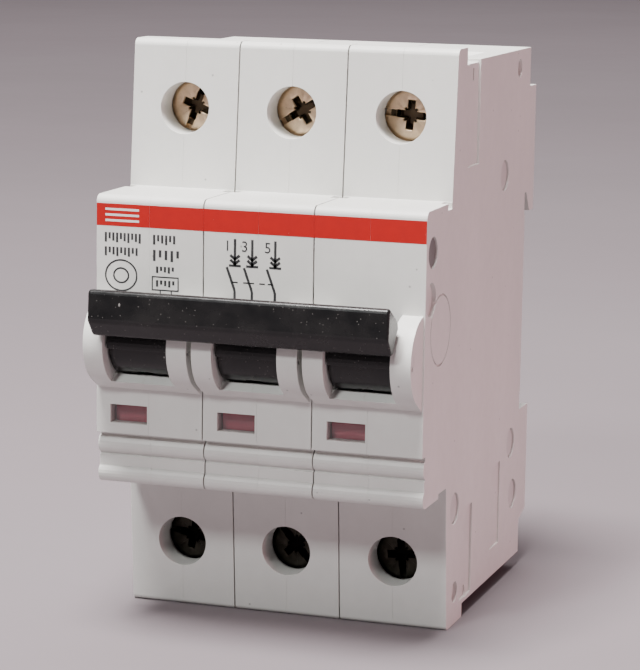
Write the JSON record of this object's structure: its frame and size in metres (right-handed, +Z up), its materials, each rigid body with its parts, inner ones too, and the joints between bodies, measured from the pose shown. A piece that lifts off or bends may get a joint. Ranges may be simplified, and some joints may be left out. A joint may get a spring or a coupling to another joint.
{
  "type": "circuit breaker",
  "caption": "Rail-mounted miniature circuit breaker with joined poles, tie-bar handle, recessed terminal screws and position windows",
  "frame": {"origin": "middle of the rail seat: half-way across the three poles, on the plane that rests on the rail's front, at half the rail's height", "axes": "+X across the poles to the right, +Y from the front towards the rail, +Z up"},
  "size_m": [0.0522, 0.0735, 0.09],
  "materials": {
    "shell_plastic": "fine-textured light grey thermoset, printed red band on the label face",
    "handle_black": "glossy black",
    "screw_yellow": "yellow-passivated zinc on steel",
    "plated_steel": "zinc plated",
    "dark_steel": "dark plated",
    "copper": "bare copper alloy, satin",
    "flag_red": "red moulded plastic, green on the part that shows when off",
    "lens_clear": "clear window plastic",
    "trip_grey": "dark grey moulded plastic",
    "clip_grey": "dark grey nylon"
  },
  "bodies": {
    "housing": {"pole1_left_shell": "shell_plastic", "pole1_right_shell": "shell_plastic", "pole1_top_terminal": "copper", "pole1_bottom_terminal": "copper", "pole1_coil": "copper", "pole1_bimetal": "plated_steel", "pole1_arc_chute": "dark_steel", "pole2_left_shell": "shell_plastic", "pole2_right_shell": "shell_plastic", "pole2_top_terminal": "copper", "pole2_bottom_terminal": "copper", "pole2_coil": "copper", "pole2_bimetal": "plated_steel", "pole2_arc_chute": "dark_steel", "pole3_left_shell": "shell_plastic", "pole3_right_shell": "shell_plastic", "pole3_top_terminal": "copper", "pole3_bottom_terminal": "copper", "pole3_coil": "copper", "pole3_bimetal": "plated_steel", "pole3_arc_chute": "dark_steel", "tie_rivets": "shell_plastic", "window_lenses": "lens_clear", "magnet_yokes": "dark_steel", "fixed_contacts": "copper", "contact_springs": "plated_steel", "braids": "copper"},
    "handle": {"tie_bar": "handle_black", "pole1_toggle": "handle_black", "pole2_toggle": "handle_black", "pole3_toggle": "handle_black"},
    "trip_bar": {"trip_bar": "trip_grey"},
    "pole1_contact_arm": {"pole1_contact_arm": "copper"},
    "pole1_link": {"pole1_link": "plated_steel"},
    "pole1_flag": {"pole1_flag": "flag_red"},
    "pole1_plunger": {"pole1_plunger": "plated_steel"},
    "pole1_top_screw": {"pole1_top_screw": "screw_yellow"},
    "pole1_top_cage": {"pole1_top_cage": "plated_steel"},
    "pole1_bottom_screw": {"pole1_bottom_screw": "screw_yellow"},
    "pole1_bottom_cage": {"pole1_bottom_cage": "plated_steel"},
    "pole1_rail_clip": {"pole1_rail_clip": "clip_grey"},
    "pole2_contact_arm": {"pole2_contact_arm": "copper"},
    "pole2_link": {"pole2_link": "plated_steel"},
    "pole2_flag": {"pole2_flag": "flag_red"},
    "pole2_plunger": {"pole2_plunger": "plated_steel"},
    "pole2_top_screw": {"pole2_top_screw": "screw_yellow"},
    "pole2_top_cage": {"pole2_top_cage": "plated_steel"},
    "pole2_bottom_screw": {"pole2_bottom_screw": "screw_yellow"},
    "pole2_bottom_cage": {"pole2_bottom_cage": "plated_steel"},
    "pole2_rail_clip": {"pole2_rail_clip": "clip_grey"},
    "pole3_contact_arm": {"pole3_contact_arm": "copper"},
    "pole3_link": {"pole3_link": "plated_steel"},
    "pole3_flag": {"pole3_flag": "flag_red"},
    "pole3_plunger": {"pole3_plunger": "plated_steel"},
    "pole3_top_screw": {"pole3_top_screw": "screw_yellow"},
    "pole3_top_cage": {"pole3_top_cage": "plated_steel"},
    "pole3_bottom_screw": {"pole3_bottom_screw": "screw_yellow"},
    "pole3_bottom_cage": {"pole3_bottom_cage": "plated_steel"},
    "pole3_rail_clip": {"pole3_rail_clip": "clip_grey"}
  },
  "joints": [
    {"name": "handle_swing", "type": "hinge", "parent": "housing", "child": "handle", "pos_m": [0, -0.0573, 0], "axis": [1, 0, 0], "range_deg": [0, 62]},
    {"name": "trip_turn", "type": "hinge", "parent": "housing", "child": "trip_bar", "pos_m": [0, -0.0545, 0.0158], "axis": [-1, 0, 0], "range_deg": [0, 8.8]},
    {"name": "pole1_contact_turn", "type": "hinge", "parent": "housing", "child": "pole1_contact_arm", "pos_m": [-0.0175, -0.038, -0.002], "axis": [1, 0, 0], "range_deg": [0, 26.9]},
    {"name": "pole1_link_turn", "type": "hinge", "parent": "handle", "child": "pole1_link", "pos_m": [-0.0175, -0.05841, -0.00342], "axis": [1, 0, 0], "range_deg": [-63.4, 0]},
    {"name": "pole1_flag_turn", "type": "hinge", "parent": "housing", "child": "pole1_flag", "pos_m": [-0.0175, -0.0504, -0.0115], "axis": [1, 0, 0], "range_deg": [0, 32.8]},
    {"name": "pole1_plunger_slide", "type": "slide", "parent": "housing", "child": "pole1_plunger", "axis": [0, 0, -1], "range_m": [0, 0.0025], "stiffness_N_per_m": 20, "springref_m": -0.002},
    {"name": "pole1_top_screw_turn", "type": "hinge", "parent": "housing", "child": "pole1_top_screw", "pos_m": [-0.0175, -0.0375, 0.0345], "axis": [0, 1, 0], "range_deg": [0, 1980]},
    {"name": "pole1_top_cage_slide", "type": "slide", "parent": "housing", "child": "pole1_top_cage", "axis": [0, -1, 0], "range_m": [0, 0.0044]},
    {"name": "pole1_bottom_screw_turn", "type": "hinge", "parent": "housing", "child": "pole1_bottom_screw", "pos_m": [-0.0175, -0.0375, -0.0345], "axis": [0, 1, 0], "range_deg": [0, 1980]},
    {"name": "pole1_bottom_cage_slide", "type": "slide", "parent": "housing", "child": "pole1_bottom_cage", "axis": [0, -1, 0], "range_m": [0, 0.0044]},
    {"name": "pole1_clip_slide", "type": "slide", "parent": "housing", "child": "pole1_rail_clip", "axis": [0, 0, -1], "range_m": [0, 0.0035], "stiffness_N_per_m": 1200, "springref_m": -0.002},
    {"name": "pole2_contact_turn", "type": "hinge", "parent": "housing", "child": "pole2_contact_arm", "pos_m": [0, -0.038, -0.002], "axis": [1, 0, 0], "range_deg": [0, 26.9]},
    {"name": "pole2_link_turn", "type": "hinge", "parent": "handle", "child": "pole2_link", "pos_m": [0, -0.05841, -0.00342], "axis": [1, 0, 0], "range_deg": [-63.4, 0]},
    {"name": "pole2_flag_turn", "type": "hinge", "parent": "housing", "child": "pole2_flag", "pos_m": [0, -0.0504, -0.0115], "axis": [1, 0, 0], "range_deg": [0, 32.8]},
    {"name": "pole2_plunger_slide", "type": "slide", "parent": "housing", "child": "pole2_plunger", "axis": [0, 0, -1], "range_m": [0, 0.0026]},
    {"name": "pole2_top_screw_turn", "type": "hinge", "parent": "housing", "child": "pole2_top_screw", "pos_m": [0, -0.0375, 0.0345], "axis": [0, 1, 0], "range_deg": [0, 1980]},
    {"name": "pole2_top_cage_slide", "type": "slide", "parent": "housing", "child": "pole2_top_cage", "axis": [0, -1, 0], "range_m": [0, 0.0044]},
    {"name": "pole2_bottom_screw_turn", "type": "hinge", "parent": "housing", "child": "pole2_bottom_screw", "pos_m": [0, -0.0375, -0.0345], "axis": [0, 1, 0], "range_deg": [0, 1980]},
    {"name": "pole2_bottom_cage_slide", "type": "slide", "parent": "housing", "child": "pole2_bottom_cage", "axis": [0, -1, 0], "range_m": [0, 0.0044]},
    {"name": "pole2_clip_slide", "type": "slide", "parent": "housing", "child": "pole2_rail_clip", "axis": [0, 0, -1], "range_m": [0, 0.0035], "stiffness_N_per_m": 1200, "springref_m": -0.002},
    {"name": "pole3_contact_turn", "type": "hinge", "parent": "housing", "child": "pole3_contact_arm", "pos_m": [0.0175, -0.038, -0.002], "axis": [1, 0, 0], "range_deg": [0, 26.9]},
    {"name": "pole3_link_turn", "type": "hinge", "parent": "handle", "child": "pole3_link", "pos_m": [0.0175, -0.05841, -0.00342], "axis": [1, 0, 0], "range_deg": [-63.4, 0]},
    {"name": "pole3_flag_turn", "type": "hinge", "parent": "housing", "child": "pole3_flag", "pos_m": [0.0175, -0.0504, -0.0115], "axis": [1, 0, 0], "range_deg": [0, 32.8]},
    {"name": "pole3_plunger_slide", "type": "slide", "parent": "housing", "child": "pole3_plunger", "axis": [0, 0, -1], "range_m": [0, 0.0026]},
    {"name": "pole3_top_screw_turn", "type": "hinge", "parent": "housing", "child": "pole3_top_screw", "pos_m": [0.0175, -0.0375, 0.0345], "axis": [0, 1, 0], "range_deg": [0, 1980]},
    {"name": "pole3_top_cage_slide", "type": "slide", "parent": "housing", "child": "pole3_top_cage", "axis": [0, -1, 0], "range_m": [0, 0.0044]},
    {"name": "pole3_bottom_screw_turn", "type": "hinge", "parent": "housing", "child": "pole3_bottom_screw", "pos_m": [0.0175, -0.0375, -0.0345], "axis": [0, 1, 0], "range_deg": [0, 1980]},
    {"name": "pole3_bottom_cage_slide", "type": "slide", "parent": "housing", "child": "pole3_bottom_cage", "axis": [0, -1, 0], "range_m": [0, 0.0044]},
    {"name": "pole3_clip_slide", "type": "slide", "parent": "housing", "child": "pole3_rail_clip", "axis": [0, 0, -1], "range_m": [0, 0.0035], "stiffness_N_per_m": 1200, "springref_m": -0.002}
  ],
  "couplings": [
    {"joint": "trip_turn", "follows": "pole1_plunger_slide", "rad_per_m": 60.79},
    {"joint": "pole1_contact_turn", "follows": "handle_swing", "ratio": 0.426},
    {"joint": "pole1_link_turn", "follows": "handle_swing", "ratio": -1.014},
    {"joint": "pole1_flag_turn", "follows": "handle_swing", "ratio": 0.52},
    {"joint": "pole1_top_screw_turn", "follows": "pole1_top_cage_slide", "rad_per_m": 7854},
    {"joint": "pole1_bottom_screw_turn", "follows": "pole1_bottom_cage_slide", "rad_per_m": 7854},
    {"joint": "pole2_contact_turn", "follows": "handle_swing", "ratio": 0.426},
    {"joint": "pole2_link_turn", "follows": "handle_swing", "ratio": -1.014},
    {"joint": "pole2_flag_turn", "follows": "handle_swing", "ratio": 0.52},
    {"joint": "pole2_plunger_slide", "follows": "pole1_plunger_slide", "ratio": 1},
    {"joint": "pole2_top_screw_turn", "follows": "pole2_top_cage_slide", "rad_per_m": 7854},
    {"joint": "pole2_bottom_screw_turn", "follows": "pole2_bottom_cage_slide", "rad_per_m": 7854},
    {"joint": "pole3_contact_turn", "follows": "handle_swing", "ratio": 0.426},
    {"joint": "pole3_link_turn", "follows": "handle_swing", "ratio": -1.014},
    {"joint": "pole3_flag_turn", "follows": "handle_swing", "ratio": 0.52},
    {"joint": "pole3_plunger_slide", "follows": "pole1_plunger_slide", "ratio": 1},
    {"joint": "pole3_top_screw_turn", "follows": "pole3_top_cage_slide", "rad_per_m": 7854},
    {"joint": "pole3_bottom_screw_turn", "follows": "pole3_bottom_cage_slide", "rad_per_m": 7854}
  ]
}
